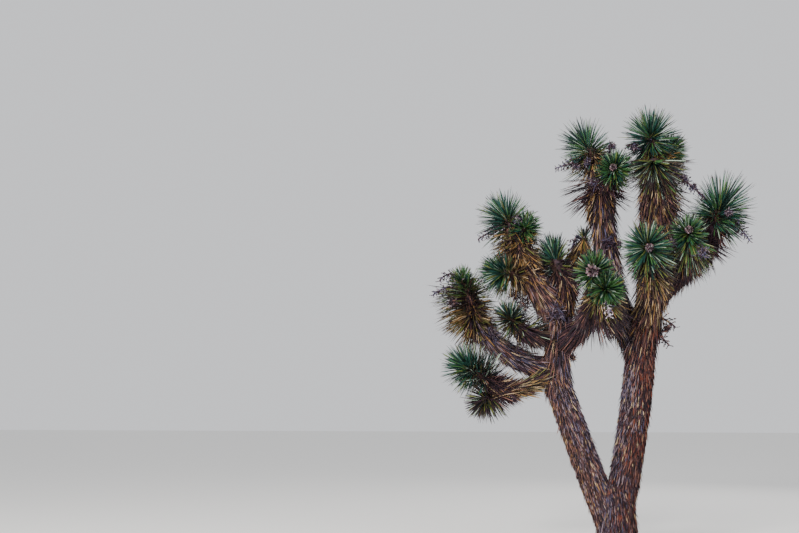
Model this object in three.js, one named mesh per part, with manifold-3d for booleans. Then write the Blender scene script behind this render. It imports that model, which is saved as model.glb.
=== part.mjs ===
// Joshua tree: a tree yucca whose trunk forks into shaggy limbs that end in heads of dagger leaves.
// Millimetres. +Z is up, the ground is z = 0 and the tree is seen along +Y.
import * as THREE from "three";
import { mergeVertices } from "three/addons/utils/BufferGeometryUtils.js";
import Module from "manifold-3d";

const wasm = await Module();
wasm.setup();

// Driving dimensions of the limbs
const GAP = 0.35; // clearance between neighbouring solids
const BURIED = 120; // length of trunk drawn below the ground, then cut off flat
const ROOT_FLARE = 1.16; // width of the trunk's foot, as a share of its width above it
const BARK_SWELL = 0.035; // slow unevenness of a limb, as a share of its width
const LIMB_SIDES = 9;
const LIMB_ROWS = 5;
const DOME = 0.7; // height of a limb's rounded tip, as a share of its radius
const DOME_RING = { down: 0.35, wide: 0.72 }; // a ring on it: shares of that height and radius

// Driving dimensions of a head of leaves. Those without a unit are in leaf lengths.
const CORE_SIDES = 6;
const CORE_PAST = 0.26; // how far the core's tip stands past the centre that the leaves point from
const CORE_FORM = [
  { back: 0.95, radius: 0.3 },
  { back: 0.5, radius: 0.36 },
  { back: 0.2, radius: 0.3 },
]; // the packed roots of the leaves, counted back from the core's tip
const CORE_STARTS = 0.98; // share of its limb where a core starts at the latest
const CORE_FOOT = { alone: 0.96, shared: 0.8 }; // its width there, as a share of the limb's tip
const LEAVES = 20; // on a head without a skirt, from the spear at its tip down
const SKIRT_LEAVES = 10; // more for each leaf length of skirt
const LEAF_WIDTH = 53; // mm
const LEAF_THICK = 13; // mm, from the flat face to the keel
const LEAF_BELT = 0.26; // where a leaf is widest
const SKIRT_ANGLE = 138; // how far the lowest dead leaves turn back, in degrees from the tip
const SKIRT_LENGTH = 0.9;
const LEAF_WANDER = { tilt: 0.06, turn: 0.15, length: 0.08 }; // radians, radians and a share
const GOLDEN_ANGLE = Math.PI * (3 - Math.sqrt(5));

// Driving dimensions of the dried flower stalks
const STALK_ROOT = 0.7; // share of the core's length where a stalk comes out
const STALK_WIDTH = 28;
const STALK_TAPER = 0.36;
const STALK_SIDES = 3;
const STALK_ROWS = 3;
const PODS = 5; // branchlets with dry pods on a stalk
const POD_STRETCH = [0.45, 0.87]; // shares of the stalk's length between which they stand
const POD_ANGLE = 1.1; // radians off the stalk
const POD_LENGTH = 85;
const POD_WIDTH = 28;

// A limb starts at a share of its parent's length and ends at its tip. The bow is how far its
// middle is pulled off the straight line, twice over, and across is the width at both ends, with
// the coat of dead leaves.
const limb = (parent, share, tip, bow, across) => ({ parent, share, tip, bow, across });
const LIMBS = {
  trunk: limb(null, 0, [-15, 0, 640], [0, 0, 0], [392, 385]),
  stem_left: limb("trunk", 0.3, [-545, -60, 1700], [-10, 0, 0], [236, 240]),
  stem_left_top: limb("stem_left", 0.97, [-520, -50, 2310], [-10, 0, 0], [240, 262]),
  stem_right: limb("trunk", 0.59, [268, 40, 2060], [76, 0, 0], [335, 308]),
  stem_right_top: limb("stem_right", 0.97, [365, 40, 2385], [0, 0, 0], [308, 300]),

  bough_low_left: limb("stem_left_top", 0.08, [-1120, -260, 1590], [0, 0, -40], [215, 175]),
  bough_left: limb("stem_left_top", 0.2, [-1375, 150, 2300], [-110, 10, -240], [205, 185]),
  bough_inner_left: limb("stem_left_top", 0.68, [-870, -240, 2150], [0, 0, -50], [140, 115]),
  bough_upper_left: limb("stem_left_top", 0.94, [-965, 60, 3060], [-70, 0, 0], [240, 210]),
  bough_middle: limb("stem_left_top", 0.94, [-480, 130, 2730], [70, 0, -40], [175, 150]),
  spur_middle: limb("bough_middle", 0.86, [-350, 380, 2950], [30, 40, -30], [135, 110]),
  bough_front_left: limb("stem_left_top", 0.55, [-150, -480, 2390], [50, -20, -80], [190, 170]),
  bough_tall_left: limb("stem_right", 0.95, [-96, 165, 3620], [-156, 50, -467], [255, 235]),
  bough_tall_right: limb("stem_right_top", 0.9, [478, 120, 3640], [20, 30, 0], [300, 345]),
  bough_front_right: limb("stem_right_top", 0.6, [370, -270, 2600], [0, -90, -60], [240, 255]),
  bough_right: limb("stem_right_top", 0.88, [935, 50, 3000], [20, -20, -70], [250, 215]),
  spur_right: limb("bough_right", 0.5, [745, -160, 2880], [30, -60, -20], [180, 165]),

  bough_back_left: limb("bough_upper_left", 0.3, [-790, 560, 2720], [0, 90, -80], [185, 165]),
  bough_back_low: limb("stem_left_top", 0.7, [-590, 570, 2290], [0, 90, -90], [190, 165]),
  bough_back_right: limb("stem_right_top", 0.66, [400, 640, 2820], [0, 150, -140], [205, 180]),
  spur_back_right: limb("bough_right", 0.35, [760, 480, 2790], [0, 90, -60], [175, 155]),
};

// A head's stem starts at a share of its limb's length, which is 1 where it has the limb's tip to
// itself. Its leaves point away from the centre and reach that far from it, its tip faces along
// face, and its dead leaves hang on down the stem for skirt leaf lengths.
const head = (on, share, centre, face, reach, skirt) => ({ on, share, centre, face, reach, skirt });
const HEADS = {
  head_low_left: head("bough_low_left", 0.93, [-1328, -330, 1782], [-0.93, -0.2, 0.3], 305, 0.5),
  head_low_drooping: head("bough_low_left", 0.9, [-1217, -285, 1497], [-0.55, -0.1, -0.83], 225, 0.4),
  head_far_left: head("bough_left", 1, [-1453, 190, 2601], [-0.4, -0.1, 0.9], 300, 0.8),
  head_inner_left: head("bough_inner_left", 1, [-969, -285, 2296], [-0.3, -0.35, 0.88], 235, 0.5),
  head_upper_left: head("bough_upper_left", 0.92, [-1053, 90, 3335], [-0.62, 0.15, 0.76], 335, 0.6),
  head_upper_front: head("bough_upper_left", 0.9, [-837, -30, 3225], [0.45, -0.65, 0.6], 265, 0.5),
  head_side_left: head("bough_upper_left", 0.6, [-1090, -110, 2765], [-0.93, -0.3, 0.15], 255, 0.4),
  head_middle: head("bough_middle", 0.9, [-573, 130, 2935], [-0.1, 0, 1], 270, 0.5),
  head_middle_back: head("spur_middle", 1, [-267, 450, 3128], [0.1, 0.25, 0.95], 200, 0.4),
  head_front_upper: head("bough_front_left", 0.9, [-141, -570, 2698], [-0.1, -0.85, 0.5], 265, 0.5),
  head_front_lower: head("bough_front_left", 0.92, [-60, -620, 2513], [0.4, -0.9, 0.1], 270, 0.5),
  head_tall_left: head("bough_tall_left", 0.97, [-182, 200, 4081], [-0.5, 0.1, 0.86], 345, 1.1),
  head_tall_left_front: head("bough_tall_left", 0.95, [39, -20, 3817], [0.45, -0.85, 0.25], 265, 0.7),
  head_top: head("bough_tall_right", 0.97, [423, 90, 4153], [-0.15, -0.25, 0.95], 300, 0.9),
  head_top_right: head("bough_tall_right", 0.96, [686, 255, 4045], [0.6, 0.45, 0.66], 255, 0.9),
  head_top_front: head("bough_tall_right", 0.95, [418, -120, 3841], [-0.3, -0.94, -0.1], 280, 0.6),
  head_front_right: head("bough_front_right", 1, [366, -400, 2911], [-0.1, -0.85, 0.5], 275, 0.6),
  head_right_front: head("spur_right", 1, [755, -210, 3109], [0, -0.6, 0.8], 260, 0.8),
  head_far_right: head("bough_right", 1, [1117, 60, 3325], [0.42, -0.2, 0.88], 365, 0.6),
  head_back_left: head("bough_back_left", 1, [-822, 720, 2912], [-0.1, 0.6, 0.8], 250, 0.5),
  head_back_low: head("bough_back_low", 1, [-597, 730, 2509], [-0.1, 0.65, 0.75], 255, 0.5),
  head_back_right: head("bough_back_right", 1, [416, 800, 3102], [0.05, 0.55, 0.83], 275, 0.6),
  head_back_far_right: head("spur_back_right", 1, [805, 640, 2993], [0.2, 0.6, 0.77], 265, 0.6),
};

// A dried flower stalk of a past year runs from its head to its end, and arch is how far its
// middle is pulled up off the straight line, twice over
const STALKS = [
  { on: "head_tall_left", end: [-546, 60, 3853], arch: 0 },
  { on: "head_tall_left_front", end: [10, 170, 4080], arch: 60 },
  { on: "head_top_front", end: [933, -60, 3466], arch: 90 },
  { on: "head_top", end: [165, -40, 4030], arch: 30 },
  { on: "head_upper_left", end: [-1339, -60, 3117], arch: 30 },
  { on: "head_far_left", end: [-1765, 60, 2705], arch: 240 },
  { on: "head_far_left", end: [-1830, 20, 2555], arch: 120 },
  { on: "head_far_right", end: [1348, -40, 3024], arch: 120 },
  { on: "head_middle_back", end: [-425, 400, 2950], arch: 300 },
  { on: "head_front_lower", end: [-25, -690, 2250], arch: 20 },
];

const bark = new THREE.MeshStandardMaterial({ color: 0x6b5240, roughness: 0.95, metalness: 0 });
const thatch = new THREE.MeshStandardMaterial({ color: 0x8a7350, roughness: 0.9, metalness: 0 });
const foliage = new THREE.MeshStandardMaterial({ color: 0x41653f, roughness: 0.6, metalness: 0 });

const { lerp, degToRad } = THREE.MathUtils;
const vector = (place) => new THREE.Vector3(...place);

// Random numbers from 0 to 1 that are the same on each run
function seeded(seed) {
  let state = seed;
  return () => {
    state = (state * 1664525 + 1013904223) % 2 ** 32;
    return state / 2 ** 32;
  };
}

// A closed geometry as a solid
function solidOf(geometry) {
  geometry.deleteAttribute("normal");
  geometry.deleteAttribute("uv");
  const merged = mergeVertices(geometry, 1e-3);
  return new wasm.Manifold(
    new wasm.Mesh({
      numProp: 3,
      vertProperties: merged.attributes.position.array,
      triVerts: new Uint32Array(merged.index.array),
    }),
  );
}

// A form turned on a lathe, whose rows are then carried along a curve. A row of the profile is a
// share of the curve and the radius there. grow makes it that much larger all round: a row that
// is clearly narrower than the one before belongs to a rounded tip, and moves outwards along it.
function sweep(curve, profile, sides, grow = 0) {
  const FRAMES = 40;
  const NARROWER = 0.9;
  const rows = profile.map(([, radius], row) => new THREE.Vector2(radius && radius + grow, row));
  const turned = new THREE.LatheGeometry(rows, sides);
  const frames = curve.computeFrenetFrames(FRAMES);
  const position = turned.attributes.position;
  for (let i = 0; i < position.count; i++) {
    const row = Math.round(position.getY(i));
    const [share, radius] = profile[row];
    const frame = Math.round(share * FRAMES);
    const tip = share === 1 || radius < NARROWER * profile[Math.max(row - 1, 0)][1];
    const past = share === 0 ? -grow : tip ? grow : 0;
    const place = curve
      .getPointAt(share)
      .addScaledVector(frames.tangents[frame], past)
      .addScaledVector(frames.binormals[frame], position.getX(i))
      .addScaledVector(frames.normals[frame], position.getZ(i));
    position.setXYZ(i, ...place);
  }
  return solidOf(turned);
}

// A curve from one place to another, with its middle pulled by bow
function bowed(start, end, bow) {
  const middle = start.clone().lerp(end, 0.5).add(bow);
  return new THREE.QuadraticBezierCurve3(start, middle, end);
}

// A unit vector at an angle off an axis, turned round it from a side that no limb faces
function tilted(axis, angle, turn) {
  const side = new THREE.Vector3(0.31, 0.74, 0.6).cross(axis).normalize().applyAxisAngle(axis, turn);
  return axis.clone().multiplyScalar(Math.cos(angle)).addScaledVector(side, Math.sin(angle));
}

function boxesMeet(a, b) {
  const [one, two] = [a.boundingBox(), b.boundingBox()];
  return [0, 1, 2].every((k) => one.min[k] <= two.max[k] && two.min[k] <= one.max[k]);
}

function largestPiece(made) {
  return made.decompose().reduce((most, piece) => (piece.volume() > most.volume() ? piece : most));
}

// The largest piece of a solid once each of the others is cut out of it
function cutClear(made, others) {
  const near = others.filter((other) => boxesMeet(made, other));
  return largestPiece(near.reduce((left, other) => left.subtract(other), made));
}

// Limb profile: a steady taper with a slow swell, the trunk's root flare, and a domed or flat tip
function limbProfile({ parent, across }, length, domed, random) {
  const [first, last] = across.map((width) => width / 2);
  const dome = domed ? (DOME * last) / length : 0;
  const profile = [[0, 0]];
  for (let row = 0; row <= LIMB_ROWS; row++) {
    const share = (row / LIMB_ROWS) * (1 - dome);
    const above = parent ? Infinity : Math.max(0, share * length - BURIED);
    const flare = (ROOT_FLARE - 1) * Math.exp(-above / first);
    const swell = BARK_SWELL * (2 * random() - 1);
    profile.push([share, lerp(first, last, share) * (1 + flare + swell)]);
  }
  if (domed) profile.push([1 - dome * DOME_RING.down, last * DOME_RING.wide]);
  profile.push([1, 0]);
  return profile;
}

// Trunk, stems and boughs, each cut clear of those before it
function growLimbs() {
  const limbs = {};
  const random = seeded(7);
  const handedOn = Object.values(HEADS).filter(({ share }) => share === 1).map(({ on }) => on);
  for (const [name, plan] of Object.entries(LIMBS)) {
    const parent = limbs[plan.parent];
    const start = parent ? parent.curve.getPointAt(plan.share) : new THREE.Vector3(0, 0, -BURIED);
    const curve = bowed(start, vector(plan.tip), vector(plan.bow));
    const profile = limbProfile(plan, curve.getLength(), !handedOn.includes(name), random);
    const [made, grown] = [0, GAP].map((grow) => sweep(curve, profile, LIMB_SIDES, grow));
    const others = Object.values(limbs).map((other) => other.grown);
    const solid = parent ? cutClear(made, others) : made.trimByPlane([0, 0, 1], 0);
    limbs[name] = { curve, radius: plan.across[1] / 2, solid, grown };
  }
  return limbs;
}

// The stem in the middle of a head, from inside its limb to just past the centre of the leaves
function coreCurve({ share, centre, face, reach }, carrier) {
  const way = vector(face).normalize();
  const start = carrier.curve.getPointAt(Math.min(share, CORE_STARTS));
  const end = vector(centre).addScaledVector(way, CORE_PAST * reach);
  const middle = end.clone().addScaledVector(way, -0.5 * end.distanceTo(start));
  return new THREE.QuadraticBezierCurve3(start, middle, end);
}

function coreProfile({ share, reach }, carrier, length) {
  const foot = carrier.radius * (share === 1 ? CORE_FOOT.alone : CORE_FOOT.shared);
  const rows = CORE_FORM.map(({ back, radius }) => [1 - (back * reach) / length, radius * reach]);
  return [[0, 0], [0, foot], ...rows.filter(([at]) => at > 0), [1, 0]];
}

// A blade of one unit, three-sided with a keel: it is thin at its root and sharp at its tip
const unitBlade = solidOf(
  new THREE.LatheGeometry(
    [new THREE.Vector2(0, 0), new THREE.Vector2(1 / Math.sqrt(3), LEAF_BELT), new THREE.Vector2(0, 1)],
    3,
  ),
);

function blade(root, way, length, width, thick, up) {
  const across = new THREE.Vector3().crossVectors(up, way).normalize();
  const keel = new THREE.Vector3().crossVectors(across, way);
  const along = way.clone();
  const place = new THREE.Matrix4()
    .makeBasis(across.multiplyScalar(width), along.multiplyScalar(length), keel.multiplyScalar(thick))
    .setPosition(root);
  return unitBlade.transform(place.elements);
}

// Leaves spread round the core by the golden angle, from the spear to the skirt that hangs back
function leavesOf({ reach, skirt }, curve, random) {
  const lowest = Math.cos(degToRad(SKIRT_ANGLE));
  const count = Math.round(LEAVES + SKIRT_LEAVES * skirt);
  const wander = (range) => range * (2 * random() - 1);
  return Array.from({ length: count }, (_, i) => {
    const age = (i + 0.5) / count;
    const back = (CORE_PAST + skirt * age * age) * reach;
    const share = Math.max(0, 1 - back / curve.getLength());
    const axis = curve.getTangentAt(share);
    const angle = Math.acos(1 - age * (1 - lowest)) + wander(LEAF_WANDER.tilt);
    const way = tilted(axis, angle, i * GOLDEN_ANGLE + wander(LEAF_WANDER.turn));
    const length = reach * lerp(1, SKIRT_LENGTH, age * age) * (1 + wander(LEAF_WANDER.length));
    return blade(curve.getPointAt(share), way, length, LEAF_WIDTH, LEAF_THICK, axis);
  });
}

// A dried flower stalk and its pods, as loose solids
function stalkOf({ end, arch }, start, random) {
  const curve = bowed(start, vector(end), new THREE.Vector3(0, 0, arch));
  const radius = STALK_WIDTH / 2;
  const rows = Array.from({ length: STALK_ROWS }, (_, row) => row / STALK_ROWS);
  const profile = [[0, 0], ...rows.map((share) => [share, radius * (1 - STALK_TAPER * share)]), [1, 0]];
  const parts = [sweep(curve, profile, STALK_SIDES)];
  for (let pod = 0; pod < PODS; pod++) {
    const share = lerp(...POD_STRETCH, pod / (PODS - 1));
    const along = curve.getTangentAt(share);
    const way = tilted(along, POD_ANGLE, pod * GOLDEN_ANGLE + random());
    const root = curve.getPointAt(share).addScaledVector(way, -radius);
    parts.push(blade(root, way, POD_LENGTH + radius, POD_WIDTH, POD_WIDTH, along));
  }
  return parts;
}

// Heads: every core first, then the stalks and leaves that touch nothing but their own core
function growHeads(limbs) {
  const random = seeded(11);
  const heads = {};
  const grown = Object.values(limbs).map((other) => other.grown);
  for (const [name, plan] of Object.entries(HEADS)) {
    const curve = coreCurve(plan, limbs[plan.on]);
    const profile = coreProfile(plan, limbs[plan.on], curve.getLength());
    heads[name] = { curve, solid: cutClear(sweep(curve, profile, CORE_SIDES), grown) };
    grown.push(sweep(curve, profile, CORE_SIDES, GAP));
  }
  const everything = [...Object.values(limbs), ...Object.values(heads)];
  const standsFree = (own) => (body) =>
    everything.every(
      (other) => other === own || !boxesMeet(body, other.solid) || body.minGap(other.solid, GAP) >= GAP,
    );
  for (const plan of STALKS) {
    const own = heads[plan.on];
    const parts = stalkOf(plan, own.curve.getPointAt(STALK_ROOT), random).filter(standsFree(own));
    own.solid = largestPiece(wasm.Manifold.union([own.solid, ...parts]));
  }
  for (const [name, own] of Object.entries(heads)) {
    const leaves = leavesOf(HEADS[name], own.curve, random).filter(standsFree(own));
    own.solid = largestPiece(wasm.Manifold.union([own.solid, ...leaves]));
  }
  return heads;
}

function meshOf(name, solid, material) {
  const { vertProperties, triVerts } = solid.getMesh();
  const geometry = new THREE.BufferGeometry()
    .setAttribute("position", new THREE.BufferAttribute(vertProperties, 3))
    .setIndex(new THREE.BufferAttribute(triVerts, 1));
  geometry.computeVertexNormals();
  const mesh = new THREE.Mesh(geometry, material);
  mesh.name = name;
  return mesh;
}

const limbs = growLimbs();
const heads = growHeads(limbs);

const wood = new THREE.Group();
for (const [name, { solid }] of Object.entries(limbs)) {
  wood.add(meshOf(name, solid, /^(trunk|stem)/.test(name) ? bark : thatch));
}
const crown = new THREE.Group();
for (const [name, { solid }] of Object.entries(heads)) crown.add(meshOf(name, solid, foliage));

const tree = new THREE.Group().add(wood, crown);
export default tree;
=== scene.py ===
# Joshua tree: the bark, thatch, leaves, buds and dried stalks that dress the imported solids.
# Metres, +Z up, the ground is z = 0 and the tree is seen along +Y.
import math

import bpy
import numpy as np
from mathutils import Euler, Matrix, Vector


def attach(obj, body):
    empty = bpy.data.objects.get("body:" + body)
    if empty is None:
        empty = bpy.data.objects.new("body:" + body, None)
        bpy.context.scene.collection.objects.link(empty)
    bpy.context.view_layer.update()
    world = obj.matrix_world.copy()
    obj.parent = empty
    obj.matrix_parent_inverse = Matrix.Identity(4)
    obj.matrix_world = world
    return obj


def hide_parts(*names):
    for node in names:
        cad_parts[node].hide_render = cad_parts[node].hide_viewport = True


MM = 0.001
ABOVE_GROUND = 0.001
DOWN = np.array([0.0, 0.0, -1.0])
OFF_SIDE = np.array([0.31, 0.74, 0.6])  # a side that no limb faces
GOLDEN_ANGLE = math.pi * (3 - math.sqrt(5))
SEEDS = {"bark": 3, "crown": 5, "coats": 7, "stalks": 13, "buds": 17}

# Driving dimensions of the limbs
BURIED = 120  # mm of trunk below the ground, then cut off flat
ROOT_FLARE = 1.16  # width of the trunk's foot, as a share of its width above it
FORK_TAPER = 0.2  # by how much the trunk narrows just under its fork
FORK_TAPER_POWER = 6  # the higher, the nearer to the fork it starts to narrow
CARRIES_ON = 0.95  # share of a limb's length past which the next one carries on from its tip
LIMB_ROWS = 31
GIRTH_PLACES = 11  # along a limb, where its girth is taken
CURVE_POINTS = 121
CURVE_STEP = 0.01  # share of a curve over which its way is read

# The limbs, in millimetres, by the same rule as in the part's source: parent, share of its length
# where the limb starts, tip, bow of the middle, and width at both ends with its dead leaves
LIMBS = {
    "trunk": (None, 0, (-15, 0, 640), (0, 0, 0), (392, 385)),
    "stem_left": ("trunk", 0.3, (-572, -60, 1700), (-36, 0, 0), (262, 240)),
    "stem_left_top": ("stem_left", 0.97, (-520, -50, 2310), (-10, 0, 0), (240, 262)),
    "stem_right": ("trunk", 0.59, (275, 40, 2060), (72, 0, 0), (315, 308)),
    "stem_right_top": ("stem_right", 0.97, (365, 40, 2385), (0, 0, 0), (308, 300)),
    "bough_low_left": ("stem_left_top", 0.16, (-1120, -260, 1566), (0, 0, -84), (196, 132)),
    "bough_left": ("stem_left_top", 0.2, (-1435, 150, 2320), (-90, 10, -215), (205, 185)),
    "bough_inner_left": ("stem_left_top", 0.68, (-870, -240, 2150), (0, 0, -42), (132, 105)),
    "bough_upper_left": ("stem_left_top", 0.94, (-965, 60, 3060), (-70, 0, 0), (240, 210)),
    "bough_middle": ("stem_left_top", 0.94, (-480, 130, 2730), (70, 0, -40), (175, 150)),
    "spur_middle": ("bough_middle", 0.86, (-350, 380, 2950), (30, 40, -30), (135, 110)),
    "bough_front_left": ("stem_left_top", 0.55, (-150, -480, 2390), (50, -20, -80), (190, 170)),
    "bough_tall_left": ("stem_right", 0.95, (-84, 165, 3620), (-145, 50, -467), (250, 212)),
    "bough_tall_right": ("stem_right_top", 0.9, (478, 120, 3640), (50, 30, 0), (262, 345)),
    "bough_front_right": ("stem_right_top", 0.6, (408, -270, 2600), (0, -90, -60), (222, 205)),
    "bough_right": ("stem_right_top", 0.88, (935, 50, 3008), (0, -20, 74), (236, 196)),
    "spur_right": ("bough_right", 0.5, (745, -160, 2880), (30, -60, -20), (180, 165)),
    "bough_back_left": ("bough_upper_left", 0.3, (-790, 560, 2720), (0, 90, -80), (185, 165)),
    "bough_back_low": ("stem_left_top", 0.7, (-590, 570, 2290), (0, 90, -90), (190, 165)),
    "bough_back_right": ("stem_right_top", 0.66, (400, 640, 2820), (0, 150, -140), (205, 180)),
    "spur_back_right": ("bough_right", 0.35, (760, 480, 2830), (0, 90, -20), (150, 140)),
}

# The stem in the middle of a head. Values without a unit are in reaches of its leaves.
CORE_PAST = 0.26  # how far its tip stands past the centre that the leaves point from
CORE_STARTS = 0.98  # share of its limb where it starts at the latest
CORE_FOOT = {"alone": 0.96, "shared": 0.8}  # its width there, as a share of the limb's tip
CORE_BULGE = {"back": 0.5, "radius": 0.34}  # how far behind its tip it is widest, and radius there
CORE_TIP = 0.05
SKIRTED = 0.4  # share of its length that is inside the head's skirt
AT_TIP = 0.8  # share of a limb past which a head takes the limb's tip

# The heads, in millimetres: limb, share of its length where the head's stem starts, centre that
# the leaves point from, way the tip faces, and reach of the leaves
HEADS = {
    "head_low_left": ("bough_low_left", 0.93, (-1412, -330, 1784), (-0.88, -0.15, 0.4), 305),
    "head_low_drooping": ("bough_low_left", 0.9, (-1268, -285, 1468), (-0.55, -0.1, -0.83), 225),
    "head_far_left": ("bough_left", 1, (-1520, 190, 2685), (-0.4, -0.1, 0.9), 300),
    "head_inner_left": ("bough_inner_left", 1, (-1000, -285, 2270), (-0.3, -0.35, 0.88), 235),
    "head_upper_left": ("bough_upper_left", 0.92, (-1052, 90, 3345), (-0.62, 0.15, 0.76), 335),
    "head_upper_front": ("bough_upper_left", 0.9, (-862, -30, 3208), (0.4, -0.65, 0.6), 265),
    "head_side_left": ("bough_upper_left", 0.6, (-1090, -110, 2758), (-0.93, -0.3, 0.15), 255),
    "head_middle": ("bough_middle", 0.9, (-577, 130, 2925), (-0.1, 0, 1), 270),
    "head_middle_back": ("spur_middle", 1, (-275, 450, 3160), (0.05, 0.1, 1), 200),
    "head_front_upper": ("bough_front_left", 0.9, (-162, -570, 2690), (-0.1, -0.85, 0.5), 265),
    "head_front_lower": ("bough_front_left", 0.92, (-54, -620, 2517), (0.4, -0.9, 0.1), 270),
    "head_tall_left": ("bough_tall_left", 0.97, (-212, 200, 4090), (-0.5, 0.1, 0.86), 345),
    "head_tall_left_front": ("bough_tall_left", 0.95, (53, -20, 3805), (0.45, -0.85, 0.25), 265),
    "head_top": ("bough_tall_right", 0.97, (432, 90, 4150), (-0.12, -0.45, 0.9), 300),
    "head_top_right": ("bough_tall_right", 0.96, (612, 255, 4022), (0.6, 0.45, 0.66), 255),
    "head_top_front": ("bough_tall_right", 0.95, (441, -120, 3850), (-0.3, -0.94, -0.1), 280),
    "head_front_right": ("bough_front_right", 1, (350, -400, 2945), (-0.1, -0.85, 0.5), 275),
    "head_right_front": ("spur_right", 1, (752, -210, 3085), (0, -0.6, 0.8), 260),
    "head_far_right": ("bough_right", 1, (1085, 60, 3365), (0.4, -0.2, 0.88), 365),
    "head_back_left": ("bough_back_left", 1, (-822, 720, 2912), (-0.1, 0.6, 0.8), 250),
    "head_back_low": ("bough_back_low", 1, (-597, 730, 2509), (-0.1, 0.65, 0.75), 255),
    "head_back_right": ("bough_back_right", 1, (416, 800, 3102), (0.05, 0.55, 0.83), 275),
    "head_back_far_right": ("spur_back_right", 1, (805, 640, 2993), (0.2, 0.6, 0.77), 265),
}

# The base colours of leaves, dead leaves, shreds of bark and stalks, in the red, green and blue of
# a screen
TINTS = {
    # Two of the leaf tints are painted light: a dark copy of the leaf green is painted shade and a
    # pale copy is a painted highlight, dealt out at random among the leaves
    "leaf_teal": (46, 84, 76), "leaf_painted_shade": (26, 44, 41), "leaf_green": (68, 106, 62),
    "leaf_painted_highlight": (150, 168, 150), "leaf_olive": (106, 112, 60), "leaf_umber": (66, 54, 44),
    "leaf_base": (112, 112, 72), "leaf_tip": (48, 36, 38), "dry_straw": (182, 158, 124),
    "dry_gold": (150, 114, 68), "dry_olive": (98, 86, 56), "dry_tan": (122, 86, 76),
    "dry_brown": (80, 54, 52), "dry_rust": (108, 54, 40), "dry_grey": (124, 108, 116),
    # The near-black dead-leaf tint is painted shade, dealt out among dead leaves, shreds and
    # stalks to stand for the shadows between them. The plum tint is partly the colour of old dead
    # leaves and partly painted shade
    "dry_slate": (78, 74, 98), "dry_plum_and_shade": (56, 36, 48), "dry_painted_shade": (24, 14, 25),
    "bud_rose": (164, 130, 136), "bud_white": (214, 206, 212),
}

# Mixes of them, by weight
TONES = {
    "teal": dict(leaf_teal=6, leaf_painted_shade=7, leaf_green=3, leaf_painted_highlight=1.5, leaf_olive=0.8),
    "green": dict(leaf_teal=3, leaf_painted_shade=6, leaf_green=7, leaf_painted_highlight=1.3, leaf_olive=1.5),
    "murky": dict(leaf_teal=3, leaf_painted_shade=7, leaf_olive=2, leaf_umber=3, leaf_painted_highlight=1.4),
    # This mix is painted shade, for leaves that lie in the shadow of the live ones
    "shade": dict(leaf_painted_shade=5, leaf_umber=5, leaf_olive=2.5, leaf_painted_highlight=1, dry_plum_and_shade=4, dry_painted_shade=5),
    "moss": dict(leaf_painted_shade=6, leaf_green=3, leaf_olive=4, leaf_painted_highlight=1.5, leaf_umber=4, dry_painted_shade=3),
    # This dark mix is painted shade, for the inner left head, which lies in shadow
    "dull_shade": dict(leaf_painted_shade=7, leaf_teal=2, leaf_olive=2, leaf_umber=5, leaf_painted_highlight=0.8, dry_painted_shade=4),
    "olive": dict(dry_olive=6, dry_straw=1.6, dry_gold=2, leaf_umber=5, leaf_olive=1, dry_painted_shade=6),
    "fan": dict(
        dry_olive=4.5, dry_gold=3.5, dry_straw=2.4, leaf_olive=2, leaf_umber=5, dry_painted_shade=5,
    ),
    "golden": dict(
        dry_gold=4.5, dry_straw=3, dry_olive=2.5, dry_brown=3.5, dry_painted_shade=9, dry_plum_and_shade=3,
    ),
    # This mostly dark mix is painted shade, for dead leaves under the heads, on their stems and in
    # the crooks of the limbs
    "dusk_shade": dict(dry_plum_and_shade=6, dry_painted_shade=8, dry_brown=3, dry_tan=1.2, dry_straw=0.4),
    "brown": dict(dry_tan=3.5, dry_brown=5, dry_gold=1, dry_plum_and_shade=4, dry_painted_shade=9, dry_straw=1),
    "grey": dict(dry_grey=2, dry_slate=1.5, dry_plum_and_shade=6, dry_painted_shade=7, dry_tan=2, dry_straw=0.5),
    "ruddy": dict(dry_rust=2.5, dry_brown=5, dry_tan=3, dry_painted_shade=8, dry_plum_and_shade=5, dry_straw=0.6),
    "weathered": dict(dry_grey=4, dry_slate=3.5, dry_plum_and_shade=5, dry_painted_shade=9, dry_tan=2, dry_straw=0.8),
    "tawny": dict(
        dry_tan=5, dry_gold=1.2, dry_brown=4, dry_plum_and_shade=2, dry_painted_shade=9, dry_grey=2, dry_straw=0.8,
    ),
    "rusty": dict(dry_rust=4, dry_tan=3, dry_brown=4, dry_painted_shade=9, dry_plum_and_shade=3, dry_straw=0.4),
    "blue": dict(dry_slate=5, dry_grey=3, dry_plum_and_shade=5, dry_painted_shade=4),
    "mauve": dict(dry_plum_and_shade=6, dry_slate=3, dry_grey=1.5, dry_painted_shade=3),
    "ashy": dict(dry_grey=4, bud_white=3, dry_slate=3),
    "bud": dict(bud_rose=3, dry_grey=4, bud_white=0.7, dry_plum_and_shade=6),
}

# Blades: rows by share of length and share of width
LIVE_FORM = ((0, 0.8), (0.25, 1), (0.62, 0.86), (0.9, 0.5))
DEAD_FORM = ((0, 0.8), (0.4, 1), (0.82, 0.66))
SHRED_FORM = ((0, 0.7), (0.6, 1))
KEEL = 0.7  # depth of a blade's keel, as a share of its half width
ROLL = 0.7  # spread of the blades' turns about their own length, in radians

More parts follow.
